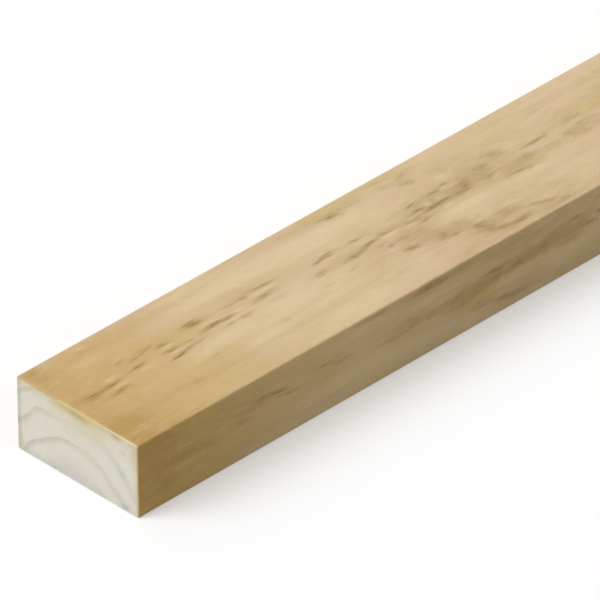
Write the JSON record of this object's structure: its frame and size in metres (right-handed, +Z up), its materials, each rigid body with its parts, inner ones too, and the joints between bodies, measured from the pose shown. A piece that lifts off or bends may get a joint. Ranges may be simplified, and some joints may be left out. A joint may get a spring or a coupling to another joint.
{
  "type": "timber plank",
  "caption": "Straight length of dressed softwood with a rectangular section, lightly eased long edges and square-sawn ends, laid flat, for framing and general building work.",
  "frame": {"origin": "middle of the underside, the wide face that the plank lies on", "axes": "+X along the length, +Y across the width, +Z up through the thickness"},
  "size_m": [1.2, 0.09, 0.045],
  "materials": {
    "timber": "planed, unsealed"
  },
  "bodies": {
    "root": {"plank": "timber"}
  },
  "joints": []
}
